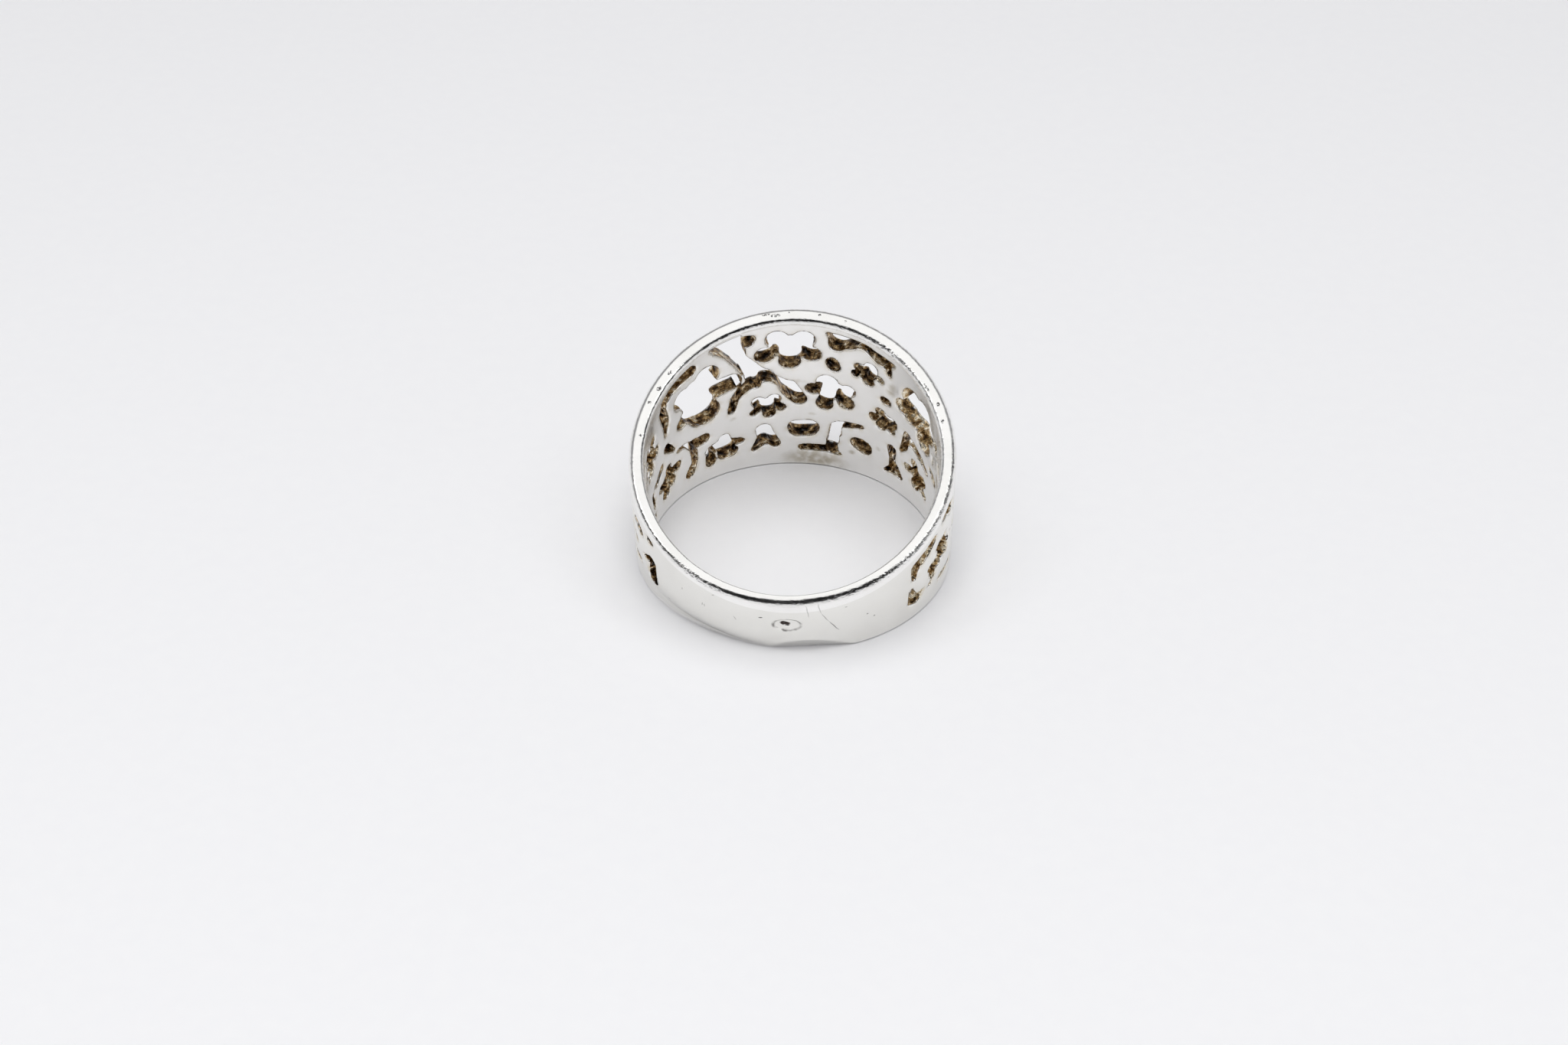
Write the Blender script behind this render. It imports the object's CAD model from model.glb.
# %% [markdown]
# # A cast openwork finger ring
# The ring lies on its side on a pale table. It was cast in silver in one piece, with flowers, leaves and
# vines pierced through its tall front, and it has been worn for years.
# The CAD model gives its size, its outline and every opening. Blender gives what wear and casting add:
# rounded edges, a rough brown skin in the openings, a filed and scratched back, pits and soft dents.

import bpy
import numpy as np
from mathutils import Matrix


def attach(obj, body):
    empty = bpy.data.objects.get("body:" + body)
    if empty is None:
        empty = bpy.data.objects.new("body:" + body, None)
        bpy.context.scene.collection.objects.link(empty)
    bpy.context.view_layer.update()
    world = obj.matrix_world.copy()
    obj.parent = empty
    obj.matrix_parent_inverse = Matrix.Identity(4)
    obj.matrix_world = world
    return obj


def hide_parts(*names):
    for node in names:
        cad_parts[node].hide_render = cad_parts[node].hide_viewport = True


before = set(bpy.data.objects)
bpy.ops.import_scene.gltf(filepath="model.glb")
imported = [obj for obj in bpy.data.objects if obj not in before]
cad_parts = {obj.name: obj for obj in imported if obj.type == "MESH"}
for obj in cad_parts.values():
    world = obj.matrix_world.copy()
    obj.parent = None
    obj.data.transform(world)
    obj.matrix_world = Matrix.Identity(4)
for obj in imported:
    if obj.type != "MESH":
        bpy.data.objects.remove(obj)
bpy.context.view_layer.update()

# %% [markdown]
# ## The ring's own directions
# The band is taller at the front than at the back, and it stands on its lower edge, so the finger hole
# leans. All shapes are worked out in the ring's own frame: an angle round the finger hole, a distance from
# its axis and a height along it. One function then brings them to the table's frame. The ring could be made
# upright and its object tipped, but the export wants objects unturned, so the points themselves are placed.

# %% Sizes in millimetres, as in the CAD model
MM = 0.001
BORE_RADIUS = 9.0
FRONT_WALL = 1.18
BACK_WALL = 0.78
FRONT_HEIGHT = 14.2
BACK_HEIGHT = 4.5
OUTER_RADIUS = BORE_RADIUS + (FRONT_WALL + BACK_WALL) / 2
OUTER_SHIFT = (FRONT_WALL - BACK_WALL) / 2
EDGE_SLOPE = (FRONT_HEIGHT - BACK_HEIGHT) / (4 * OUTER_RADIUS)
MIDDLE_HEIGHT = BACK_HEIGHT + 2 * EDGE_SLOPE * (BORE_RADIUS + BACK_WALL)
LEAN = np.arctan(EDGE_SLOPE)
RIGHT = np.array([1.0, 0.0, 0.0])
FRONT = np.array([0.0, np.cos(LEAN), np.sin(LEAN)])
ALONG = np.array([0.0, -np.sin(LEAN), np.cos(LEAN)])
CENTRE = ALONG * MIDDLE_HEIGHT / 2


def ring_point(angle, distance, height):
    """Centre, plus distance times (cos angle right + sin angle front), plus height along the hole."""
    sideways = (distance * np.cos(angle))[..., None] * RIGHT
    forwards = (distance * np.sin(angle))[..., None] * FRONT
    return CENTRE + sideways + forwards + np.asarray(height)[..., None] * ALONG


def outer_distance(angle):
    """From the hole's axis to a circle whose centre is shifted to the front."""
    return OUTER_SHIFT * np.sin(angle) + np.sqrt(OUTER_RADIUS**2 - (OUTER_SHIFT * np.cos(angle)) ** 2)


def edge_height(angle, distance):
    """Half the band's height: middle half plus slope times how far forwards the spot is."""
    return MIDDLE_HEIGHT / 2 + EDGE_SLOPE * distance * np.sin(angle)


print(f"the hole leans {np.degrees(LEAN):.2f} degrees; the wall is {FRONT_WALL} to {BACK_WALL} mm thick")

# %% [markdown]
# ## The openings' outlines
# The openings could be charted again here, but then there would be two charts to keep alike. Instead they
# are read from the CAD solid: its triangles on the finger hole's wall end where an opening starts, so the
# edges that only one of them uses are the outlines.
# A casting has no crisp corners. Each outline is taken apart into waves with a Fourier transform, and the
# short waves are weakened, which rounds the cusps between petals and leaves the form.

# %% Read a mesh and find its outlines
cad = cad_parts["openwork_band"]


def cad_triangles(piece):
    """Vertices merged by place, in mm in the ring's own frame, and triangles as rows of three numbers."""
    mesh = piece.data
    mesh.calc_loop_triangles()
    places = np.empty(len(mesh.vertices) * 3)
    mesh.vertices.foreach_get("co", places)
    corners = np.empty(len(mesh.loop_triangles) * 3, dtype=np.int32)
    mesh.loop_triangles.foreach_get("vertices", corners)
    places = np.round(places.reshape(-1, 3) / MM, 4)
    merged, number = np.unique(places, axis=0, return_inverse=True)
    own = np.stack([merged @ RIGHT, merged @ FRONT, (merged - CENTRE) @ ALONG], axis=1)
    return own, number.reshape(-1)[corners].reshape(-1, 3)


def lone_edges(*groups):
    """Directed edges of all the faces, whose way back no other face uses."""
    start = np.concatenate([faces.reshape(-1) for faces in groups])
    end = np.concatenate([np.roll(faces, -1, axis=1).reshape(-1) for faces in groups])
    size = start.max() + 1
    lone = ~np.isin(start.astype(np.int64) * size + end, end.astype(np.int64) * size + start)
    return start[lone], end[lone]


def closed_chains(start, end):
    """Orders directed edges into closed chains: each vertex learns its chain and place by doubling steps."""
    names, both = np.unique(np.concatenate([start, end]), return_inverse=True)
    following = np.empty(len(names), dtype=np.int64)
    following[both[: len(start)]] = both[len(start) :]
    chain, ahead = np.arange(len(names)), following.copy()
    for _ in range(int(np.log2(len(names))) + 2):
        chain, ahead = np.minimum(chain, chain[ahead]), ahead[ahead]
    last = chain == np.arange(len(names))
    steps, ahead = np.where(last, 0, 1), np.where(last, np.arange(len(names)), following)
    for _ in range(int(np.log2(len(names))) + 2):
        steps, ahead = steps + steps[ahead], ahead[ahead]
    order = np.lexsort((-steps, chain))
    return np.split(names[order], np.flatnonzero(np.diff(chain[order])) + 1)


own, triangles = cad_triangles(cad)
print(cad.name, "has", len(own), "vertices and", len(triangles), "triangles")

# %% The openings' outlines on the finger hole's wall, unrolled
OUTLINE_STEP = 0.035
FEWEST_POINTS = 24
CASTING_SOFTNESS = 0.055


def soften(outline):
    """Even steps along a closed outline, then each wave weakened by exp(-(softness x wave number)^2 / 2)."""
    closed = np.vstack([outline, outline[:1]])
    run = np.concatenate([[0.0], np.cumsum(np.linalg.norm(np.diff(closed, axis=0), axis=1))])
    count = max(FEWEST_POINTS, int(run[-1] / OUTLINE_STEP))
    even = np.arange(count) * run[-1] / count
    wave = np.interp(even, run, closed[:, 0]) + 1j * np.interp(even, run, closed[:, 1])
    number = np.fft.fftfreq(count, d=run[-1] / count) * 2 * np.pi
    wave = np.fft.ifft(np.fft.fft(wave) * np.exp(-((CASTING_SOFTNESS * number) ** 2) / 2))
    return np.stack([wave.real, wave.imag], axis=1)


# A triangle is part of the finger hole's wall where its corners lie this near to it in mm, and where its
# normal has at most this share along the hole and at least this share straight away from the axis.
NEAR_WALL, MOST_ALONG, LEAST_ACROSS = 0.003, 0.2, 0.9
SEAM_ANGLE = -120.0
cad_distance = np.hypot(own[:, 0], own[:, 1])
corner = own[triangles]
facing = np.cross(corner[:, 1] - corner[:, 0], corner[:, 2] - corner[:, 0])
upright = np.abs(facing[:, 2]) < MOST_ALONG * np.linalg.norm(facing, axis=1)
outward = corner.mean(axis=1)[:, :2]
across = np.abs((facing[:, :2] * outward).sum(axis=1))
level = across > LEAST_ACROSS * np.linalg.norm(facing, axis=1) * np.linalg.norm(outward, axis=1)
on_bore = (np.abs(cad_distance[triangles] - BORE_RADIUS) < NEAR_WALL).all(axis=1) & upright & level
turn = np.degrees(np.arctan2(own[:, 1], own[:, 0]))
turn = (turn - SEAM_ANGLE) % 360 + SEAM_ANGLE
unrolled = np.stack([np.radians(turn) * BORE_RADIUS, own[:, 2]], axis=1)


def area_inside(outline):
    """Half the sum of x times the next y, less y times the next x. It is positive round an opening."""
    following = np.roll(outline, -1, axis=0)
    return (outline[:, 0] * following[:, 1] - outline[:, 1] * following[:, 0]).sum() / 2


chains = closed_chains(*lone_edges(triangles[on_bore]))
WIDEST_OPENING = 90.0
chains = [chain for chain in chains if np.ptp(turn[chain]) < WIDEST_OPENING]
chains = [chain for chain in chains if area_inside(unrolled[chain]) > 0]
outlines = [soften(unrolled[chain]) for chain in chains]
print(len(outlines), "openings, the largest of", round(max(map(area_inside, outlines)), 1), "square mm")

# %% [markdown]
# ## How far is each spot from an opening
# The worn edges of an opening follow its outline at an even distance. So the mesh needs, for any spot on
# the unrolled band, its distance to the nearest outline (less than nothing inside an opening) and the
# direction straight away from it. A Boolean cut would give the hole too, but with long thin faces that
# shade badly on polished metal.

# %% Distance to the outlines
FAR = 1.0
PAIRS_AT_ONCE = 400000


def from_outline(spots, outline):
    """Distance to a closed outline, below zero where an odd count of its edges lies to one side."""
    start, end = outline, np.roll(outline, -1, axis=0)
    run = end - start
    reach = spots[:, None] - start[None]
    share = np.clip((reach * run).sum(axis=2) / (run**2).sum(axis=1), 0, 1)
    gap = reach - share[..., None] * run
    length = np.sqrt((gap**2).sum(axis=2))
    nearest = length.argmin(axis=1)
    rows = np.arange(len(spots))
    below = (start[None, :, 1] > spots[:, None, 1]) != (end[None, :, 1] > spots[:, None, 1])
    rise = np.where(np.abs(run[:, 1]) < 1e-12, 1e-12, run[:, 1])
    crossing = start[:, 0] + (spots[:, None, 1] - start[:, 1]) / rise * run[:, 0]
    inside = (below & (crossing > spots[:, None, 0])).sum(axis=1) % 2 == 1
    sign = np.where(inside, -1.0, 1.0)
    away = gap[rows, nearest] * sign[:, None]
    return length[rows, nearest] * sign, away / np.maximum(np.linalg.norm(away, axis=1), 1e-9)[:, None]


def from_openings(spots):
    """The least signed distance to any outline, looked for as far as FAR, and the direction away from it."""
    distance = np.full(len(spots), FAR)
    away = np.zeros_like(spots)
    for outline in outlines:
        low, high = outline.min(axis=0) - FAR, outline.max(axis=0) + FAR
        near = np.flatnonzero(((spots > low) & (spots < high)).all(axis=1))
        for part in np.array_split(near, max(1, len(near) * len(outline) // PAIRS_AT_ONCE)):
            if len(part):
                length, direction = from_outline(spots[part], outline)
                nearer = length < distance[part]
                distance[part[nearer]] = length[nearer]
                away[part[nearer]] = direction[nearer]
    return distance, away


front_gap = from_openings(np.array([[np.pi / 2 * BORE_RADIUS, 0.0]]))[0]
print("the middle of the front lies", round(float(front_gap[0]), 2), "mm from the nearest outline")

# %% [markdown]
# ## The band's section
# Cut through anywhere, the band is a bar with a straight inside, a sloping edge and a straight outside. Its
# corners are rounded: a little on the inside, more on the outside, and most on the upper edge at the back,
# where years of wear have made it almost a half round. The lower edge has stayed sharper. A Bevel modifier
# would round all of them alike. So the section is worked out for each angle, with its own radii, and carried
# round the finger hole as one surface.

# %% Roundings
INNER_ROUND, INNER_ROUND_BACK = 0.50, 0.10
OUTER_ROUND, OUTER_ROUND_BACK = 0.40, 0.80
LOWER_ROUND, LOWER_INNER_ROUND = 0.30, 0.25
WORN_ANGLE, WORN_SPREAD = 281.0, 36.0


def turn_from(angle, middle):
    """Degrees from a middle angle, between -180 and 180."""
    return (np.degrees(angle) - middle + 180) % 360 - 180


def inner_round(angle, lower):
    """The upper radius runs from its back value to its front value with the sine. The lower one is even."""
    upper = INNER_ROUND_BACK + (INNER_ROUND - INNER_ROUND_BACK) * (1 + np.sin(angle)) / 2
    return LOWER_INNER_ROUND + 0 * angle if lower else upper


def outer_round(angle, lower):
    """The upper radius swells to its worn value at the back as a bell curve does. The lower one is even."""
    worn = np.exp(-((turn_from(angle, WORN_ANGLE) / WORN_SPREAD) ** 2))
    return LOWER_ROUND + 0 * angle if lower else OUTER_ROUND + (OUTER_ROUND_BACK - OUTER_ROUND) * worn


worn_spot = outer_round(np.radians(WORN_ANGLE), False)
print("the upper outside corner is rounded by", OUTER_ROUND, "to", round(float(worn_spot), 2), "mm")

# %% The section
ARC_ROWS = 8
EDGE_ROWS = 4
SHEET_MARGIN = 0.012


def corner_reach(angle, inner, lower):
    """How far a rounding reaches along the wall: radius over the tangent of half the corner."""
    slope = np.arctan(EDGE_SLOPE * np.sin(angle))
    corner_angle = np.pi / 2 + slope if inner else np.pi / 2 - slope
    return (inner_round if inner else outer_round)(angle, lower) / np.tan(corner_angle / 2)


def sheet_height(angle, lower):
    """The lesser of the two heights at which the roundings start, less a hair."""
    inner = edge_height(angle, BORE_RADIUS) - corner_reach(angle, True, lower)
    outer = edge_height(angle, outer_distance(angle)) - corner_reach(angle, False, lower)
    return np.minimum(inner, outer) - SHEET_MARGIN


def edge_section(angle, lower):
    """Rows of (distance, height) from the inside wall over the rounded corners to the outside wall."""
    slope = np.arctan(EDGE_SLOPE * np.sin(angle))
    inner_height = edge_height(angle, BORE_RADIUS) - corner_reach(angle, True, lower)
    outer_height = edge_height(angle, outer_distance(angle)) - corner_reach(angle, False, lower)
    rows = []
    for tilt in np.linspace(0, 1, ARC_ROWS + 1):
        swing = tilt * (np.pi / 2 - slope)
        radius = inner_round(angle, lower)
        rows.append((BORE_RADIUS + radius * (1 - np.cos(swing)), inner_height + radius * np.sin(swing)))
    arc = []
    for tilt in np.linspace(1, 0, ARC_ROWS + 1):
        swing = tilt * (np.pi / 2 + slope)
        radius = outer_round(angle, lower)
        distance = outer_distance(angle) - radius * (1 - np.cos(swing))
        arc.append((distance, outer_height + radius * np.sin(swing)))
    first, last = np.array(rows[-1]), np.array(arc[0])
    flat = [tuple(first + (last - first) * share) for share in np.linspace(0, 1, EDGE_ROWS + 1)[1:-1]]
    return np.array(rows + flat + arc)


trial = edge_section(np.radians([90.0, 0.0, 270.0]), False)
edge_flat = trial[ARC_ROWS + EDGE_ROWS, 0] - trial[ARC_ROWS, 0]
print("edge flat at the front, side and back in mm:", np.round(edge_flat, 2))

# %% [markdown]
# ## The pierced sheet
# The band between its rounded edges is unrolled to a flat grid of angle and height. Grid corners close to
# an outline are moved onto it, squares that still cross it are cut, and what lies in an opening is left
# out. This is marching squares, done for all squares at once. The inside and the outside of the band use
# the same sheet, so that the walls of the openings can join them vertex to vertex.

# %% The grid, closer where there is more to see
FINE, COARSE, MARK_STEP = 0.14, 0.26, 0.11
# Each zone's first angle, last angle and step along the wall.
STEP_ZONES = [
    (-120, -98, COARSE),
    (-98, -76, MARK_STEP),
    (-76, -43, COARSE),
    (-43, 219, FINE),
    (219, 240, COARSE),
]
ROWS = 92
WORN_EDGE = 0.035
SNAP = 0.3 * FINE


def column_angles():
    """Angles whose steps follow the zones: the density of steps is added up and shared out evenly."""
    fine = np.linspace(SEAM_ANGLE, SEAM_ANGLE + 360, 20001)
    density = np.zeros_like(fine)
    for start, end, step in STEP_ZONES:
        density[(fine >= start) & (fine <= end)] = 1 / step
    total = np.concatenate([[0], np.cumsum((density[1:] + density[:-1]) / 2)])
    count = int(total[-1] * np.radians(fine[1] - fine[0]) * BORE_RADIUS)
    return np.radians(np.interp(np.linspace(0, total[-1], count + 1)[:-1], total, fine))


columns = column_angles()
column_count = len(columns)
shares = np.linspace(0, 1, ROWS + 1)
low, high = -sheet_height(columns, True), sheet_height(columns, False)
grid_angle = np.repeat(columns, ROWS + 1)
grid_height = (low[:, None] + (high - low)[:, None] * shares[None]).reshape(-1)
spots = np.stack([grid_angle * BORE_RADIUS, grid_height], axis=1)
distance, away = from_openings(spots)
level_gap = distance - WORN_EDGE
close = np.abs(level_gap) < SNAP
spots[close] -= level_gap[close, None] * away[close]
level_gap[close] = 0.0
print(column_count, "columns,", ROWS + 1, "rows,", int(close.sum()), "grid corners moved onto an outline")

# %% Cut the squares that still cross an outline
number = np.arange(column_count * (ROWS + 1)).reshape(column_count, ROWS + 1)
following = np.roll(number, -1, axis=0)
squares = np.stack([number[:, :-1], following[:, :-1], following[:, 1:], number[:, 1:]], axis=-1)
squares = squares.reshape(-1, 4)
lines = np.concatenate([np.stack([squares[:, k], squares[:, (k + 1) % 4]], axis=1) for k in range(4)])
lines = np.unique(np.sort(lines, axis=1), axis=0)
lines = lines[level_gap[lines[:, 0]] * level_gap[lines[:, 1]] < 0]
share = level_gap[lines[:, 0]] / (level_gap[lines[:, 0]] - level_gap[lines[:, 1]])
cuts = spots[lines[:, 0]] + share[:, None] * (spots[lines[:, 1]] - spots[lines[:, 0]])
cut_distance, cut_away = from_openings(cuts)
cuts -= (cut_distance - WORN_EDGE)[:, None] * cut_away
cut_names = lines[:, 0] * np.int64(len(spots)) + lines[:, 1]


def ring_of_square():
    """For each square: corner, cut, corner, cut and so on, with -1 where a corner is open or a side uncut."""
    ring = np.full((len(squares), 8), -1)
    for k in range(4):
        here, there = squares[:, k], squares[:, (k + 1) % 4]
        ring[:, 2 * k] = np.where(level_gap[here] >= 0, here, -1)
        name = np.minimum(here, there) * np.int64(len(spots)) + np.maximum(here, there)
        found = np.minimum(np.searchsorted(cut_names, name), len(cut_names) - 1)
        ring[:, 2 * k + 1] = np.where(cut_names[found] == name, len(spots) + found, -1)
    return ring[(level_gap[squares] > 0).any(axis=1)]


ring = ring_of_square()
filled = (ring >= 0).sum(axis=1)
sheet_faces = [ring[filled == n][ring[filled == n] >= 0].reshape(-1, n) for n in range(3, 8)]
sheet_faces = [faces for faces in sheet_faces if len(faces)]
spots = np.vstack([spots, cuts])
edge_distance, edge_away = from_openings(spots)
print({faces.shape[1]: len(faces) for faces in sheet_faces}, "faces by their number of corners")

# %% [markdown]
# ## From the flat sheet to the band
# Bent round the hole, the sheet gives the inside and the outside. Close to an opening both sink in a quarter
# circle, which is the worn edge. The back keeps its marks: a long soft bevel and a straight flat that a file
# left on the lower edge, and a small plain oval pressed in by a punch, with a pit in it. They could be
# sculpted by hand, but a short formula for each can be read, checked and changed.

# %% Worn edges and the punched mark
INNER_EDGE, OUTER_EDGE = 0.12, 0.12
MARK_ANGLE, MARK_RISE = 273.0, 0.4
MARK_LENGTH, MARK_HEIGHT, MARK_DEPTH = 1.7, 1.1, 0.10
PIT_RADIUS, PIT_DEPTH = 0.22, 0.14
# Where the oval's and the pit's slopes start and end, as shares of their half lengths.
MARK_SLOPE, PIT_SLOPE = (0.8, 1.1), (0.2, 1.1)


def worn_depth(gap, radius):
    """Radius less the root of radius squared minus (radius less gap) squared, and nothing past the radius."""
    reach = np.clip(radius - gap, 0, radius)
    return radius - np.sqrt(radius**2 - reach**2)


def smooth_step(value, start, end):
    """0 before start, 1 after end, and 3 t^2 - 2 t^3 between."""
    t = np.clip((value - start) / (end - start), 0, 1)
    return t * t * (3 - 2 * t)


def mark_depth(angle, height):
    """The oval's floor is flat and its rim is soft, and the pit is a cone in its middle."""
    along_band = np.radians(turn_from(angle, MARK_ANGLE)) * (BORE_RADIUS + BACK_WALL)
    rise = height - MARK_RISE
    oval = np.hypot(along_band / (MARK_LENGTH / 2), rise / (MARK_HEIGHT / 2))
    pit = np.hypot(along_band, rise) / PIT_RADIUS
    return MARK_DEPTH * (1 - smooth_step(oval, *MARK_SLOPE)) + PIT_DEPTH * (1 - smooth_step(pit, *PIT_SLOPE))


deepest = mark_depth(np.radians(MARK_ANGLE), MARK_RISE)
print("the mark with its pit is", round(float(deepest), 2), "mm deep")

# %% The filed back
FILING_ANGLE, FILING_RISE, FILING_WIDTH, FILING_FADE = 247.0, 1.9, 0.48, 54.0
FLAT_ANGLE, FLAT_TOP, FLAT_DEPTH, FLAT_REACH = 278.0, -1.05, 0.50, 40.0


def bevel_distance(angle, height):
    """The bevel deepens with the square of the way down, and fades to its sides as a cosine does."""
    swing = np.clip(turn_from(angle, FILING_ANGLE) / FILING_FADE, -1, 1)
    down = np.clip((FILING_RISE - BACK_HEIGHT / 2 - height) / FILING_RISE, 0, 1)
    return outer_distance(angle) - FILING_WIDTH * (1 + np.cos(np.pi * swing)) / 2 * down**2


def flat_distance(angle, height):
    """A plane that leans in: its distance from the axis at this height, over the cosine of the swing."""
    swing = turn_from(angle, FLAT_ANGLE)
    lost = FLAT_DEPTH * (FLAT_TOP - height) / (FLAT_TOP + BACK_HEIGHT / 2)
    slant = np.cos(np.radians(np.clip(swing, -FLAT_REACH, FLAT_REACH)))
    straight = (BORE_RADIUS + BACK_WALL - lost) / slant
    return np.where(np.abs(swing) < FLAT_REACH, straight, 2 * OUTER_RADIUS)


def filed(distance, angle, height):
    """The least of the unfiled distance and the two cuts."""
    return np.minimum(distance, np.minimum(bevel_distance(angle, height), flat_distance(angle, height)))


back_edge = filed(outer_distance(columns), columns, np.full(column_count, -BACK_HEIGHT / 2))
filed_away = (outer_distance(columns) - back_edge).max()
print("filed away at the lower edge, at most", round(float(filed_away), 2), "mm")

# %% Bend the sheet round the hole
sheet_angle, sheet_rise = spots[:, 0] / BORE_RADIUS, spots[:, 1]
inside = ring_point(sheet_angle, BORE_RADIUS + worn_depth(edge_distance, INNER_EDGE), sheet_rise)
outer = outer_distance(sheet_angle) - worn_depth(edge_distance, OUTER_EDGE)
outer -= mark_depth(sheet_angle, sheet_rise)
outside = ring_point(sheet_angle, filed(outer, sheet_angle, sheet_rise), sheet_rise)

upper_section, lower_section = edge_section(columns, False), edge_section(columns, True)
upper = ring_point(columns, upper_section[:, 0], upper_section[:, 1])
lower_height = -lower_section[:, 1]
lower = ring_point(columns, filed(lower_section[:, 0], columns, lower_height), lower_height)
print("inside, outside and edge points:", inside.shape, outside.shape, upper.shape)

# %% [markdown]
# ## The walls of the openings
# The metal was cast in a mould of fine plaster, so the walls that no polishing wheel reaches keep a rough
# skin. Each wall is a strip of rings. The first rings turn round the worn edge, the middle ones cross the
# thickness of the band and are pushed in and out a little, and the last ones turn round the outer edge. A
# Solidify modifier would make such walls too, but flat and smooth, with sharp borders.

# %% Join the sheets and the edges, and find the border that is left
random = np.random.default_rng(31)


def gentle_noise(places, longest, shortest, count):
    """A sum of sines in random directions, with wavelengths in mm between the two, of about -1 to 1."""
    directions = random.normal(size=(count, 3))
    directions /= np.linalg.norm(directions, axis=1)[:, None]
    lengths = np.exp(random.uniform(np.log(shortest), np.log(longest), count))
    starts = random.uniform(0, 2 * np.pi, count)
    waves = places @ (directions * (2 * np.pi / lengths)[:, None]).T + starts
    return np.sin(waves).sum(axis=1) / np.sqrt(count)


def strip_faces(rows, upwards):
    """Quads between consecutive rows of vertex numbers that go round the ring."""
    first, second = rows[:-1], rows[1:]
    corners = [first, second, np.roll(second, -1, axis=1), np.roll(first, -1, axis=1)]
    quads = np.stack(corners if upwards else corners[::-1], axis=-1)
    return quads.reshape(-1, 4)


sheet_count = len(spots)
rim_rows = np.arange(len(upper) * column_count).reshape(len(upper), column_count)
upper_rows = np.vstack([number[:, -1], rim_rows + 2 * sheet_count, number[:, -1] + sheet_count])
lower_rim = rim_rows + 2 * sheet_count + rim_rows.size
lower_rows = np.vstack([number[:, 0], lower_rim, number[:, 0] + sheet_count])
faces = [group[:, ::-1] for group in sheet_faces] + [group + sheet_count for group in sheet_faces]
faces += [strip_faces(upper_rows, True), strip_faces(lower_rows, False)]
border_start, border_end = lone_edges(*faces)
of_inside = (border_start < sheet_count) & (border_end < sheet_count)
border_start, border_end = border_start[of_inside], border_end[of_inside]
border = np.unique(border_start)
wall_angle, wall_away = spots[border, 0], edge_away[border]
thickness = outer_distance(wall_angle / BORE_RADIUS) - BORE_RADIUS
print(len(border), "border points round the openings")

# %% Rings across the wall
TURN_RINGS = 2
WALL_RINGS = 5
CAST_ROUGHNESS = 0.03
# Longest and shortest wave in mm, and how many waves are added up.
CAST_WAVES = (0.9, 0.3, 24)


def wall_ring(gap, depth):
    """A copy of the border moved to a gap from the outline and a depth from the inside."""
    moved = spots[border] - (WORN_EDGE - gap)[:, None] * wall_away
    return ring_point(moved[:, 0] / BORE_RADIUS, BORE_RADIUS + depth, moved[:, 1])


def turn_of_edge(radius):
    """(gap, depth) pairs round the quarter circle, from just past the worn edge to the wall."""
    first = np.arcsin(1 - WORN_EDGE / radius)
    swings = np.linspace(first, np.pi / 2, TURN_RINGS + 1)[1:]
    return [(radius * (1 - np.sin(swing)), radius * (1 - np.cos(swing))) for swing in swings]


even = np.ones(len(border))
rings = [(gap * even, depth * even) for gap, depth in turn_of_edge(INNER_EDGE)]
for share in np.linspace(0, 1, WALL_RINGS + 2)[1:-1]:
    depth = INNER_EDGE + share * (thickness - INNER_EDGE - OUTER_EDGE)
    skin = wall_ring(0 * even, depth)
    rings.append((CAST_ROUGHNESS * gentle_noise(skin, *CAST_WAVES), depth))
rings += [(gap * even, thickness - depth) for gap, depth in turn_of_edge(OUTER_EDGE)[::-1]]
walls = np.concatenate([wall_ring(gap, depth) for gap, depth in rings])

place_in_border = np.full(sheet_count, -1)
place_in_border[border] = np.arange(len(border))
wall_first = 2 * sheet_count + 2 * rim_rows.size
wall_numbers = wall_first + np.arange(len(rings) * len(border)).reshape(len(rings), len(border))
ring_numbers = np.vstack([border, wall_numbers, border + sheet_count])
left, right_side = place_in_border[border_start], place_in_border[border_end]
for k in range(len(rings) + 1):
    above, below = ring_numbers[k], ring_numbers[k + 1]
    faces.append(np.stack([above[right_side], above[left], below[left], below[right_side]], axis=1))
print(len(rings), "rings; edges left open:", len(lone_edges(*faces)[0]))

# %% [markdown]
# ## One closed piece
# The parts above share their border vertices, so they are one closed mesh already. The corners that fell
# inside an opening are dropped. A Remesh modifier would close loose parts as well, but it would blur the
# openings' edges. Then the whole skin is pushed in by less than two hundredths of a millimetre, more here
# and less there, because a worn, hand-polished casting is never quite even, and its reflections wave.

# %% Drop what no face uses, and push the skin in softly
SOFT_DENTS = 0.016
DENT_WAVES = (7.0, 2.2, 18)


def point_normals(places, groups):
    """Each face's area vector, from a fan of triangles, added up at its corners."""
    total = np.zeros_like(places)
    for group in groups:
        fan = places[group] - places[group[:, :1]]
        area = np.cross(fan[:, 1:-1], fan[:, 2:]).sum(axis=1)
        for k in range(group.shape[1]):
            for axis in range(3):
                total[:, axis] += np.bincount(group[:, k], area[:, axis], len(places))
    return total / np.maximum(np.linalg.norm(total, axis=1), 1e-12)[:, None]


places = np.concatenate([inside, outside, upper.reshape(-1, 3), lower.reshape(-1, 3), walls])
used = np.unique(np.concatenate([group.reshape(-1) for group in faces]))
renumber = np.full(len(places), -1)
renumber[used] = np.arange(len(used))
faces = [renumber[group] for group in faces]
places = places[used]
normals = point_normals(places, faces)
places -= normals * (SOFT_DENTS * (0.5 + 0.5 * np.tanh(gentle_noise(places, *DENT_WAVES))))[:, None]
print(len(places), "points are left of", len(renumber))

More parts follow.
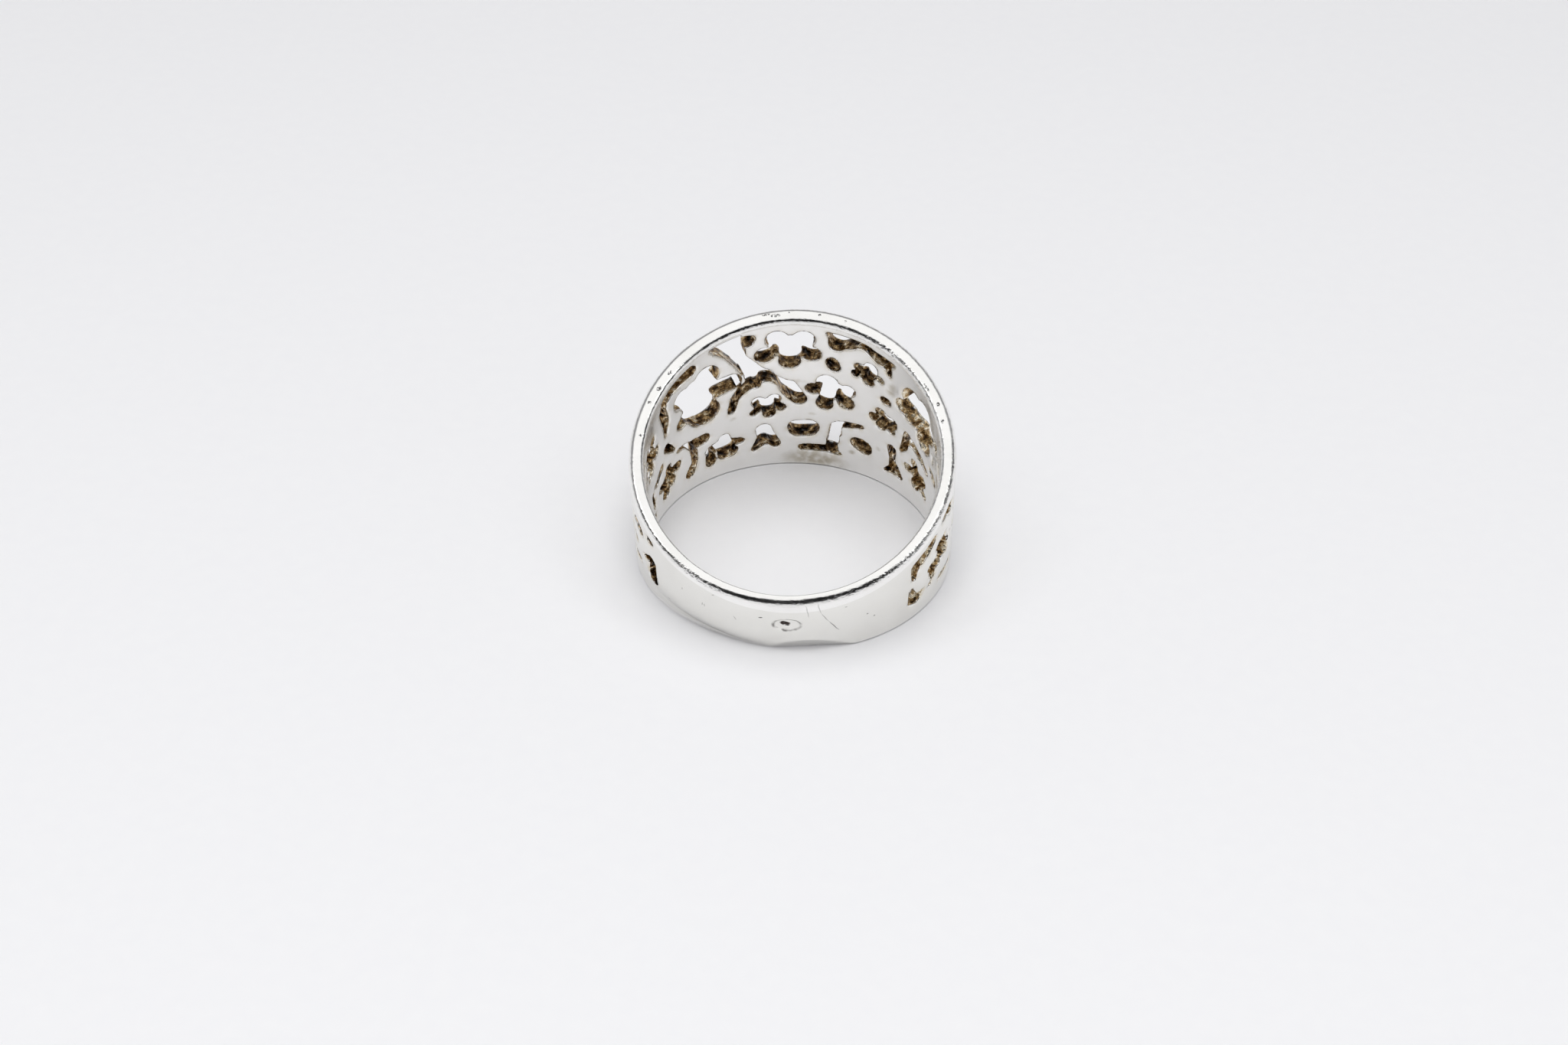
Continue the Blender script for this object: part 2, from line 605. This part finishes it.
# %% Values that the material will read: oxide, side, depth in the wall, haze and wear
HAZE_REACH = 0.14
oxide = np.zeros(len(renumber))
oxide[wall_first:] = 1.0
turns = np.linspace(0, 1, TURN_RINGS + 2)[1:-1]
for k, share in enumerate(turns):
    oxide[wall_first + k * len(border) : wall_first + (k + 1) * len(border)] = share
    last = len(rings) - 1 - k
    oxide[wall_first + last * len(border) : wall_first + (last + 1) * len(border)] = share
outside_share = np.zeros(len(oxide))
outside_share[sheet_count : 2 * sheet_count] = 1.0
wall_depth = np.zeros(len(oxide))
wall_depth[wall_first:] = np.repeat(np.linspace(0, 1, len(rings) + 2)[1:-1], len(border))
sheet_haze = np.exp(-np.maximum(edge_distance, 0) / HAZE_REACH)
haze = np.concatenate([sheet_haze, sheet_haze, np.zeros(2 * rim_rows.size), np.ones(len(walls))])
arc_share = np.sin(np.pi * np.linspace(0, 1, ARC_ROWS + 1))
edge_rows = np.concatenate([arc_share, np.zeros(EDGE_ROWS - 1), arc_share])
# How scuffed the rounded edges are: an angle round the band and a share of the most scuffed spot.
RIM_WEAR = [(0, 0.5), (20, 0.5), (50, 0.6), (75, 0.3), (150, 0.2), (225, 0.4), (236, 0.9), (246, 0.7)]
RIM_WEAR += [(254, 0.15), (285, 0.2), (298, 0.4), (315, 0.5), (345, 0.7)]
wear = np.interp(np.degrees(columns) % 360, *zip(*RIM_WEAR), period=360)
rounded = np.zeros(len(oxide))
rounded[2 * sheet_count : wall_first] = np.tile((edge_rows[:, None] * wear[None]).reshape(-1), 2)
print(f"{(oxide[used] > 0).mean():.0%} of the points lie on the openings' walls")


# %% Make the mesh
def make_piece(name, places, groups):
    """A mesh object at the origin, from points in mm and groups of faces with equal corner counts."""
    mesh = bpy.data.meshes.new(name)
    sizes = np.concatenate([np.full(len(group), group.shape[1]) for group in groups])
    corners = np.concatenate([group.reshape(-1) for group in groups])
    mesh.vertices.add(len(places))
    mesh.vertices.foreach_set("co", (places * MM).reshape(-1))
    mesh.loops.add(len(corners))
    mesh.loops.foreach_set("vertex_index", corners.astype(np.int32))
    mesh.polygons.add(len(sizes))
    mesh.polygons.foreach_set("loop_start", np.concatenate([[0], np.cumsum(sizes)[:-1]]).astype(np.int32))
    mesh.update(calc_edges=True)
    mesh.validate()
    mesh.shade_smooth()
    piece = bpy.data.objects.new(name, mesh)
    bpy.context.scene.collection.objects.link(piece)
    return piece


def paint_points(piece, name, values):
    """Stores one number per vertex for the materials to read."""
    attribute = piece.data.attributes.new(name, "FLOAT", "POINT")
    attribute.data.foreach_set("value", values.astype(np.float32))


band = make_piece("openwork_band_worn", places, faces)
painted_values = {
    "oxide": oxide,
    "outside": outside_share,
    "wall_depth": wall_depth,
    "haze": haze,
    "rounded": rounded,
}
for name, values in painted_values.items():
    paint_points(band, name, values[used])
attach(band, "root")
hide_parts("openwork_band")
band.data.calc_loop_triangles()
print(band.name, "has", len(band.data.vertices), "vertices and", len(band.data.loop_triangles), "triangles")

# %% [markdown]
# ## The metal
# One metal, three skins. The inside and the edges are polished silver, worn smooth, with fine scratches that
# run round the band. The outside is the same metal, a little greyer. The walls of the openings are as cast
# and oxidised: rough and brown, dark half way through the band and golden near its faces.
# Three materials could show them, but with hard borders between them. In one material, values painted on the
# vertices say which skin is where, and noise breaks the borders.

# %% Helpers for materials
RING_TURN = (-float(LEAN), 0.0, 0.0)
OWN_SHIFT = (0.0, 0.0, -MIDDLE_HEIGHT / 2)


def colour(hex_code):
    """An sRGB hex colour as linear numbers: each share to the power 2.4, as the sRGB rule gives it."""
    shares = np.array([int(hex_code[k : k + 2], 16) / 255 for k in (1, 3, 5)])
    linear = np.where(shares <= 0.04045, shares / 12.92, ((shares + 0.055) / 1.055) ** 2.4)
    return (*linear.tolist(), 1.0)


def new_material(name):
    """An empty node material with its output node."""
    material = bpy.data.materials.new(name)
    material.use_nodes = True
    material.node_tree.nodes.clear()
    material.node_tree.nodes.new("ShaderNodeOutputMaterial")
    return material


def add_node(owner, kind, inputs=None, **settings):
    """Adds a node, with its settings, and its inputs as numbers or as links to a socket or a node's first."""
    tree = owner.node_tree
    node = tree.nodes.new(kind)
    for name, value in settings.items():
        setattr(node, name, value)
    for name, value in (inputs or {}).items():
        socket = node.inputs[name]
        if isinstance(value, bpy.types.Node):
            value = value.outputs[0]
        if isinstance(value, bpy.types.NodeSocket):
            tree.links.new(value, socket)
        else:
            socket.default_value = value
    return node


def finish_material(material, shader):
    """Links the shader to the material's output."""
    output = next(node for node in material.node_tree.nodes if node.type == "OUTPUT_MATERIAL")
    material.node_tree.links.new(shader.outputs[0], output.inputs["Surface"])


print("mid grey #808080 is", round(colour("#808080")[0], 3), "as a linear number")

# %% Noises in the ring's own millimetres
silver = new_material("worn_sterling_silver_oxidised_in_the_openings")
place = add_node(silver, "ShaderNodeTexCoord").outputs["Object"]
own_frame = {"Vector": place, "Location": OWN_SHIFT, "Rotation": RING_TURN, "Scale": (1 / MM, 1 / MM, 1 / MM)}
own_place = add_node(silver, "ShaderNodeMapping", own_frame)
# A stretched place draws streaks round the band: fine scratches, and the softer mottle of the worn edges.
SCRATCH_STRETCH, MOTTLE_STRETCH = (0.5, 0.5, 14.0), (3.0, 3.0, 7.0)
scratch_place = add_node(silver, "ShaderNodeMapping", {"Vector": own_place, "Scale": SCRATCH_STRETCH})
mottle_place = add_node(silver, "ShaderNodeMapping", {"Vector": own_place, "Scale": MOTTLE_STRETCH})
# Scale is waves in a millimetre: grain is about 0.17 mm wide, lumps 0.5 mm, clouds 2 mm and specks 0.09 mm.
NOISE_COLUMNS = ("Vector", "Scale", "Detail")
NOISES = [
    (own_place, 6.0, 4.0),
    (own_place, 2.1, 1.0),
    (own_place, 4.5, 1.0),
    (own_place, 0.5, 3.0),
    (own_place, 11.0, 2.0),
    (own_place, 4.0, 3.0),
    (scratch_place, 1.0, 5.0),
    (mottle_place, 1.0, 3.0),
]
noises = [add_node(silver, "ShaderNodeTexNoise", dict(zip(NOISE_COLUMNS, row))) for row in NOISES]
grain, lumps, small_lumps, clouds, specks, wobble, scratches, mottle = noises
painted = {}
for name in painted_values:
    painted[name] = add_node(silver, "ShaderNodeAttribute", attribute_name=name).outputs["Fac"]
print(len(noises), "noises and", len(painted), "painted values")

# %% [markdown]
# ## Pits, scratches and stains
# Wear leaves marks in single places, not in an even pattern. Each one is a small ellipsoid with a place, two
# half lengths and a turn: a node brings the surface's place into the ellipsoid's own frame, and the distance
# from its middle says how deep in the mark a spot lies. The marks could be painted on a picture that is
# wrapped round the ring, but a table with a row for each needs no unwrapping and stays sharp close up.

# %% Where the marks are
MARK_COLUMNS = ("group", "surface", "angle", "place", "along", "across", "turn", "tone")
MARKS = [
    ("pits", "rim", 104.5, 0.60, 0.30, 0.09, 0.0, 0.8),
    ("pits", "rim", 101.0, 0.45, 0.36, 0.12, 0.0, 1.0),
    ("pits", "rim", 96.0, 0.58, 0.07, 0.05, 0.0, 0.8),
    ("pits", "rim", 84.5, 0.52, 0.09, 0.09, 0.0, 1.0),
    ("pits", "rim", 74.5, 0.48, 0.10, 0.09, 0.0, 0.9),
    ("pits", "rim", 65.0, 0.74, 0.08, 0.06, 0.0, 0.6),
    ("pits", "rim", 148.0, 0.40, 0.16, 0.14, 0.0, 1.0),
    ("pits", "rim", 155.5, 0.35, 0.20, 0.16, 0.0, 1.0),
    ("pits", "rim", 162.0, 0.48, 0.13, 0.12, 0.0, 0.9),
    ("pits", "rim", 175.8, 0.38, 0.12, 0.10, 0.0, 0.8),
    ("pits", "rim", 32.5, 0.29, 0.34, 0.08, 0.0, 1.0),
    ("pits", "rim", 24.5, 0.46, 0.16, 0.11, 0.0, 1.0),
    ("pits", "rim", 17.5, 0.40, 0.20, 0.12, 0.0, 0.9),
    ("cuts", "outside", 263.8, 0.96, 0.15, 0.05, 10.0, 0.9),
    ("cuts", "outside", 272.3, 0.48, 0.37, 0.22, -26.0, 1.0),
    ("cuts", "outside", 246.2, 1.88, 0.12, 0.04, 30.0, 0.4),
    ("cuts", "outside", 232.5, 0.79, 0.04, 0.13, 0.0, 0.5),
    ("cuts", "outside", 241.4, 0.51, 0.03, 0.17, 0.0, 0.5),
    ("cuts", "outside", 242.3, 0.46, 0.03, 0.14, 5.0, 0.5),
    ("cuts", "outside", 294.0, 1.53, 0.10, 0.04, -20.0, 0.4),
    ("cuts", "outside", 302.2, 0.13, 0.08, 0.05, 0.0, 0.7),
    ("cuts", "outside", 305.0, -0.33, 0.07, 0.05, 0.0, 0.6),
    ("cuts", "outside", 224.0, -1.67, 0.10, 0.05, 0.0, 0.6),
    ("cuts", "outside", 280.3, 1.62, 0.03, 0.60, 8.0, 0.35),
    ("cuts", "outside", 284.5, 1.80, 0.03, 0.50, 10.0, 0.35),
    ("cuts", "outside", 286.4, 0.92, 0.03, 0.50, 27.0, 0.45),
    ("cuts", "outside", 289.7, -0.05, 0.03, 0.66, 30.0, 0.7),
    ("cuts", "outside", 254.4, 0.38, 0.03, 0.21, 25.0, 0.4),
    ("stains", "inside", 51.2, 3.15, 0.50, 0.80, 22.0, 0.8),
    ("stains", "inside", 69.8, -4.66, 0.34, 0.26, -25.0, 0.9),
    ("stains", "inside", 57.5, -3.17, 0.30, 0.25, 0.0, 0.5),
    ("stains", "inside", 92.0, 1.36, 0.50, 0.25, 0.0, 0.4),
    ("stains", "inside", 87.0, -1.70, 0.35, 0.20, 0.0, 0.4),
    ("stains", "inside", 120.5, -1.30, 0.30, 0.22, 0.0, 0.5),
    ("stains", "inside", 86.0, -6.10, 2.80, 1.00, 0.0, 0.9),
    ("dents", "inside", 51.2, 3.20, 0.55, 0.95, 22.0, 1.0),
    ("dents", "inside", 69.8, -4.66, 0.30, 0.20, -25.0, 0.6),
]
print(len(MARKS), "marks")

# %% From the table to masks
MARK_CORE = {"pits": 0.6, "cuts": 0.7, "stains": 0.3, "dents": 0.0}
MARK_THICKNESS = {"rim": 0.18, "outside": 0.70, "inside": 0.70}


def mark_centre(row):
    """A rim mark's place is its share of the way across the band; another's is its height in mm."""
    angle = np.radians(row["angle"])
    share = {"rim": row["place"], "outside": 1.0, "inside": 0.0}[row["surface"]]
    distance = BORE_RADIUS + share * (outer_distance(angle) - BORE_RADIUS)
    height = edge_height(angle, distance) if row["surface"] == "rim" else row["place"]
    return (float(distance * np.cos(angle)), float(distance * np.sin(angle)), float(height))


# Noise shifts the place by up to half of this many mm, so that no mark's border is a true ellipse.
WOBBLE = 0.12
inputs = {0: wobble.outputs["Color"], 1: (0.5, 0.5, 0.5)}
shift = add_node(silver, "ShaderNodeVectorMath", inputs, operation="SUBTRACT")
inputs = {0: shift, 1: (WOBBLE, WOBBLE, WOBBLE), 2: own_place}
wobbled_place = add_node(silver, "ShaderNodeVectorMath", inputs, operation="MULTIPLY_ADD")


def mark_length(row):
    """How far a spot lies from the middle of the mark's ellipsoid: 1 on its skin."""
    thickness = MARK_THICKNESS[row["surface"]]
    lengths = (thickness, row["along"], row["across"])
    if row["surface"] == "rim":
        lengths = lengths[::-1]
    inputs = {
        "Vector": wobbled_place,
        "Location": mark_centre(row),
        "Rotation": (float(np.radians(row["turn"])), 0.0, float(np.radians(row["angle"]))),
        "Scale": lengths,
    }
    local = add_node(silver, "ShaderNodeMapping", inputs, vector_type="TEXTURE").outputs["Vector"]
    return add_node(silver, "ShaderNodeVectorMath", {0: local}, operation="LENGTH").outputs["Value"]


RAMP_COLUMNS = ("Value", "From Min", "From Max", "To Min", "To Max")
marks = {}
for values in MARKS:
    row = dict(zip(MARK_COLUMNS, values))
    group = row["group"]
    ramp = (mark_length(row), 1.0, MARK_CORE[group], 0.0, row["tone"])
    mask = add_node(silver, "ShaderNodeMapRange", dict(zip(RAMP_COLUMNS, ramp)))
    if group in marks:
        mask = add_node(silver, "ShaderNodeMath", {0: marks[group], 1: mask}, operation="MAXIMUM")
    marks[group] = mask
print("groups of marks:", ", ".join(marks))

# %% Dirt along the oval's slope, and noise that breaks the marks up
oval = {"surface": "outside", "angle": MARK_ANGLE, "place": MARK_RISE, "turn": 0.0}
oval |= {"along": MARK_LENGTH / 2, "across": MARK_HEIGHT / 2}
oval_length = mark_length(oval)
# The dirt starts, is full, fades and ends at these shares of the oval.
DIRT_START, DIRT_FULL, DIRT_FADING, DIRT_END = 0.84, 0.94, 1.0, 1.14
RAMPS = [
    (oval_length, DIRT_START, DIRT_FULL, 0.0, 1.0),
    (oval_length, DIRT_END, DIRT_FADING, 0.0, 0.7),
    (lumps, 0.35, 0.60, 0.0, 1.0),
    (specks, 0.48, 0.58, 0.0, 1.0),
    (lumps, 0.15, 0.60, 0.0, 1.0),
]
ramps = [add_node(silver, "ShaderNodeMapRange", dict(zip(RAMP_COLUMNS, row))) for row in RAMPS]
dirt_inside, dirt_outside, dirt_gaps, pit_gaps, stain_gaps = ramps
dirt = add_node(silver, "ShaderNodeMath", {0: dirt_inside, 1: dirt_outside}, operation="MULTIPLY")
dirt = add_node(silver, "ShaderNodeMath", {0: dirt, 1: dirt_gaps}, operation="MULTIPLY")
cuts = add_node(silver, "ShaderNodeMath", {0: marks["cuts"], 1: dirt}, operation="MAXIMUM")
pits = add_node(silver, "ShaderNodeMath", {0: marks["pits"], 1: pit_gaps}, operation="MULTIPLY")
scars = add_node(silver, "ShaderNodeMath", {0: pits, 1: cuts}, operation="MAXIMUM")
stains = add_node(silver, "ShaderNodeMath", {0: marks["stains"], 1: stain_gaps}, operation="MULTIPLY")
print("the marks take", len(silver.node_tree.nodes), "nodes so far")

# %% [markdown]
# ## Colours, gloss and bumps of the silver
# In an opening the oxide is darkest half way through the wall, where nothing rubs it, and wears to a pale
# gold towards both mouths. A thin haze of it stays on the polish round each mouth. Each layer is mixed over
# the ones under it, as dirt lies on metal, and so are the bumps, from fine scratches to the rough cast skin.

# %% Oxidised and as cast in the openings
# Noise breaks the oxide's border, where it is neither bare nor full.
uneven = add_node(silver, "ShaderNodeMath", {0: grain, 1: 0.4, 2: -0.65}, operation="MULTIPLY_ADD")
uneven = add_node(silver, "ShaderNodeMath", {0: lumps, 1: 0.9, 2: uneven}, operation="MULTIPLY_ADD")
skin = add_node(silver, "ShaderNodeMath", {0: painted["oxide"], 1: uneven}, operation="ADD")
skin = add_node(silver, "ShaderNodeMapRange", {"Value": skin, "From Min": 0.35, "From Max": 0.75})
shade = add_node(silver, "ShaderNodeValToRGB", {"Fac": painted["wall_depth"]})
stops = shade.color_ramp.elements
stops[0].position, stops[0].color = 0.05, (0.74, 0.74, 0.74, 1.0)
stops[1].position, stops[1].color = 1.0, (0.70, 0.70, 0.70, 1.0)
for position, value in ((0.30, 0.52), (0.62, 0.20), (0.85, 0.42)):
    stops.new(position).color = (value, value, value, 1.0)
# Lumps and grain make the oxide patchy. It is lighter towards the sides, and lightest at the right.
lightness = add_node(silver, "ShaderNodeMath", {0: grain, 1: 0.25, 2: -1.17}, operation="MULTIPLY_ADD")
lightness = add_node(silver, "ShaderNodeMath", {0: lumps, 1: 2.2, 2: lightness}, operation="MULTIPLY_ADD")
to_the_right = add_node(silver, "ShaderNodeSeparateXYZ", {"Vector": own_place})
to_a_side = add_node(silver, "ShaderNodeMath", {0: to_the_right}, operation="ABSOLUTE")
for ramp in ((to_a_side, 3.0, 8.5, 0.0, 0.2), (to_the_right, 5.5, 8.5, 0.0, 0.3)):
    lighter = add_node(silver, "ShaderNodeMapRange", dict(zip(RAMP_COLUMNS, ramp)))
    lightness = add_node(silver, "ShaderNodeMath", {0: lightness, 1: lighter}, operation="ADD")
lightness = add_node(silver, "ShaderNodeMath", {0: shade, 1: lightness}, operation="ADD")
brown = add_node(silver, "ShaderNodeValToRGB", {"Fac": lightness})
stops = brown.color_ramp.elements
stops[0].position, stops[0].color = 0.02, colour("#150E08")
stops[1].position, stops[1].color = 0.98, colour("#F2E8D2")
for position, hex_code in ((0.25, "#42301F"), (0.50, "#866B48"), (0.75, "#C2A77C")):
    stops.new(position).color = colour(hex_code)
print("the oxide runs through", len(stops), "colours")

# %% Polished and worn where it is touched
RAMPS = [
    (clouds, 0.40, 0.75, 0.0, 0.22),
    (lumps, 0.35, 0.70, 0.0, 0.75),
    (scratches, 0.30, 0.70, 0.08, 0.22),
    (grain, 0.35, 0.65, 0.16, 0.36),
]
ramps = [add_node(silver, "ShaderNodeMapRange", dict(zip(RAMP_COLUMNS, row))) for row in RAMPS]
cloud_share, haze_gaps, polish, cast_gloss = ramps
haze_share = add_node(silver, "ShaderNodeMath", {0: painted["haze"], 1: haze_gaps}, operation="MULTIPLY")
stain_share = add_node(silver, "ShaderNodeMath", {0: stains, 1: 0.75}, operation="MULTIPLY")
# Each layer lies over the one before it: where it shows, and its colour. The first lies over polished silver.
POLISHED_SILVER = "#FBFAF8"
LAYERS = [
    (painted["outside"], colour("#EFEEEA")),
    (cloud_share, colour("#DEDCD6")),
    (haze_share, colour("#CDBE9F")),
    (stain_share, colour("#A09272")),
    (scars, colour("#2A1C17")),
    (skin, brown),
]
tone = colour(POLISHED_SILVER)
for share, layer in LAYERS:
    tone = add_node(silver, "ShaderNodeMix", {0: share, 6: tone, 7: layer}, data_type="RGBA").outputs[2]
dull = add_node(silver, "ShaderNodeMix", {0: skin, 2: polish, 3: cast_gloss}, data_type="FLOAT")
print(len(LAYERS), "layers over the polish")

# %% Bumps: scratches, scuffed edges, marks and the cast skin
hollows = add_node(silver, "ShaderNodeMath", {0: scars, 1: -1.0}, operation="MULTIPLY")
dents = add_node(silver, "ShaderNodeMath", {0: marks["dents"], 1: -1.0}, operation="MULTIPLY")
# Each bump is put on top of the ones before it: its height, how many millimetres it raises, and where.
BUMPS = [
    (scratches, 0.002, 1.0),
    (mottle, 0.09, painted["rounded"]),
    (grain, 0.05, painted["rounded"]),
    (hollows, 0.03, 1.0),
    (dents, 0.07, 1.0),
    (lumps, 0.30, skin),
    (small_lumps, 0.10, skin),
]
under = {}
for height, millimetres, strength in BUMPS:
    inputs = {"Height": height, "Distance": millimetres * MM, "Strength": strength}
    under = {"Normal": add_node(silver, "ShaderNodeBump", inputs | under)}
finish = {"Base Color": tone, "Metallic": 1.0, "Roughness": dull} | under
finish_material(silver, add_node(silver, "ShaderNodeBsdfPrincipled", finish))
band.data.materials.append(silver)
print(silver.name, "has", len(silver.node_tree.nodes), "nodes")

# %% [markdown]
# ## Table, light and camera
# Polished metal shows what stands round it. Here that is a white tent: bright near the table and overhead,
# grey between, with one dark opening high behind the camera, which draws the dark lines on the rounded
# edges. Two small lamps at the sides give the glints. Two large ones, in front and overhead, light only the
# table: a mirror image of them would wash out the edges, and the floor inside the ring needs their light.
# A picture of a real studio could light it all, but each of these few parts can be seen to do its work.

# %% The table
TABLE_HALF = 600.0
corners = np.array([[-1, -1, 0], [1, -1, 0], [1, 1, 0], [-1, 1, 0]]) * TABLE_HALF
table = make_piece("table", corners.astype(float), [np.array([[0, 1, 2, 3]])])
# Matt paper scatters light evenly. Its grain is far finer than a pixel, so it only takes off the evenness.
paper = new_material("white_matt_table")
paper_place = add_node(paper, "ShaderNodeTexCoord").outputs["Object"]
paper_grain = add_node(paper, "ShaderNodeTexNoise", {"Vector": paper_place, "Scale": 900.0, "Detail": 3.0})
paper_tone = add_node(paper, "ShaderNodeValToRGB", {"Fac": paper_grain.outputs["Fac"]})
paper_tone.color_ramp.elements[0].color = colour("#F1F1F3")
paper_tone.color_ramp.elements[1].color = colour("#F4F4F5")
paper_finish = {"Base Color": paper_tone.outputs["Color"], "Roughness": 0.8}
finish_material(paper, add_node(paper, "ShaderNodeBsdfPrincipled", paper_finish))
table.data.materials.append(paper)
print(table.name, "is", 2 * TABLE_HALF, "mm wide")

# %% The white tent
world = bpy.data.worlds.new("white_tent")
bpy.context.scene.world = world
world.use_nodes = True
sky_place = add_node(world, "ShaderNodeTexCoord").outputs["Generated"]
sky_height = add_node(world, "ShaderNodeSeparateXYZ", {"Vector": sky_place}).outputs["Z"]
tent_cloth = add_node(world, "ShaderNodeValToRGB", {"Fac": sky_height})
stops = tent_cloth.color_ramp.elements
stops[0].position, stops[0].color = 0.28, colour("#E4E4E6")
stops[1].position, stops[1].color = 0.92, colour("#FBFBFB")
for position, hex_code in ((0.40, "#8E8E90"), (0.80, "#8E8E90")):
    stops.new(position).color = colour(hex_code)
background = world.node_tree.nodes["Background"]
world.node_tree.links.new(tent_cloth.outputs["Color"], background.inputs["Color"])
background.inputs["Strength"].default_value = 1.03
print(world.name, "has", len(stops), "shades from the table to overhead")


# %% The dark opening of the tent
def dome_point(turn, rise, reach):
    """A point on a dome round the ring. Azimuth 0 is on the camera's side, and rise is above the table."""
    flat = np.cos(rise)
    return reach * np.stack([np.sin(turn) * flat, -np.cos(turn) * flat, np.sin(rise)], axis=-1)


OPENING_LEFT, OPENING_RIGHT, OPENING_LOW, OPENING_HIGH = -80.0, 104.0, 24.0, 58.0
OPENING_REACH = 550.0
turns = np.radians(np.linspace(OPENING_LEFT, OPENING_RIGHT, 41))
rises = np.radians(np.linspace(OPENING_LOW, OPENING_HIGH, 5))
turns, rises = np.meshgrid(turns, rises)
dome_numbers = np.arange(turns.size).reshape(turns.shape)
dome_faces = np.stack(
    [dome_numbers[:-1, :-1], dome_numbers[1:, :-1], dome_numbers[1:, 1:], dome_numbers[:-1, 1:]], axis=-1
).reshape(-1, 4)
dome = dome_point(turns, rises, OPENING_REACH).reshape(-1, 3)
dark_opening = make_piece("dark_opening_of_the_tent", dome, [dome_faces])
# Felt swallows light and has no gloss, so the metal mirrors it as an even dark shape.
felt = new_material("black_felt")
felt_place = add_node(felt, "ShaderNodeTexCoord").outputs["Object"]
felt_nap = add_node(felt, "ShaderNodeTexNoise", {"Vector": felt_place, "Scale": 40.0})
felt_tone = add_node(felt, "ShaderNodeValToRGB", {"Fac": felt_nap.outputs["Fac"]})
felt_tone.color_ramp.elements[0].color = colour("#0A0A0B")
felt_tone.color_ramp.elements[1].color = colour("#161617")
felt_finish = {"Base Color": felt_tone.outputs["Color"], "Roughness": 1.0}
finish_material(felt, add_node(felt, "ShaderNodeBsdfPrincipled", felt_finish))
dark_opening.data.materials.append(felt)
dark_opening.visible_diffuse = False
print(dark_opening.name, "spans", OPENING_RIGHT - OPENING_LEFT, "degrees and casts no shade on the table")


# %% Soft lamps
def standing(side, up, back, spot):
    """The matrix that turns x, y and z to side, up and back, and moves to a spot in mm."""
    rows = np.stack([side, up, back, spot * MM], axis=1)
    return Matrix([*rows.tolist(), (0.0, 0.0, 0.0, 1.0)])


def soft_lamp(name, azimuth, elevation, reach, size, power):
    """A square lamp at an angle round and above the ring, in mm, that looks at the ring."""
    turn, rise = np.radians(azimuth), np.radians(elevation)
    back = dome_point(turn, rise, 1.0)
    lamp = bpy.data.objects.new(name, bpy.data.lights.new(name, "AREA"))
    lamp.data.size = size * MM
    lamp.data.energy = power
    side = np.array([np.cos(turn), np.sin(turn), 0.0])
    lamp.matrix_world = standing(side, np.cross(back, side), back, back * reach)
    bpy.context.scene.collection.objects.link(lamp)
    return lamp


# Name, azimuth, elevation, distance and side in mm, power in watts, and whether the metal mirrors it.
LAMPS = [
    ("soft_lamp_left", -68.0, 54.0, 400.0, 130.0, 0.08, True),
    ("soft_lamp_right", 68.0, 54.0, 400.0, 130.0, 0.08, True),
    ("soft_lamp_above_the_camera", 0.0, 68.0, 420.0, 200.0, 0.66, False),
    ("soft_lamp_overhead", 180.0, 82.0, 420.0, 200.0, 0.13, False),
]
for *lamp_values, mirrored in LAMPS:
    soft_lamp(*lamp_values).visible_glossy = mirrored
bpy.context.scene.view_settings.view_transform = "Standard"
print(len(LAMPS), "soft lamps")

# %% Camera
CAMERA_AZIMUTH, CAMERA_ELEVATION, CAMERA_ROLL = np.radians([4.756, 37.313, 0.6613])
CAMERA_REACH, CAMERA_RIGHT, CAMERA_UP = 156.309, 0.5313, 0.8043
CAMERA_AIM = np.array([0.0, CENTRE[1], 4.0])
PICTURE_WIDTH, FOCAL_PIXELS, SENSOR_WIDTH = 2048, 3283.34, 36.0

azimuth, elevation = CAMERA_AZIMUTH, CAMERA_ELEVATION
back = dome_point(azimuth, elevation, 1.0)
level_side = np.array([np.cos(azimuth), np.sin(azimuth), 0.0])
level_up = np.cross(back, level_side)
side = np.cos(CAMERA_ROLL) * level_side + np.sin(CAMERA_ROLL) * level_up
up = np.cos(CAMERA_ROLL) * level_up - np.sin(CAMERA_ROLL) * level_side
stand = CAMERA_AIM + CAMERA_REACH * back - CAMERA_RIGHT * side - CAMERA_UP * up
camera = bpy.data.objects.new("camera", bpy.data.cameras.new("camera"))
camera.data.sensor_width = SENSOR_WIDTH
camera.data.lens = SENSOR_WIDTH * FOCAL_PIXELS / PICTURE_WIDTH
camera.data.clip_start = 0.01
camera.matrix_world = standing(side, up, back, stand)
bpy.context.scene.collection.objects.link(camera)
bpy.context.scene.camera = camera
print("camera stands at", np.round(stand, 1), "mm with a lens of", round(camera.data.lens, 1), "mm")
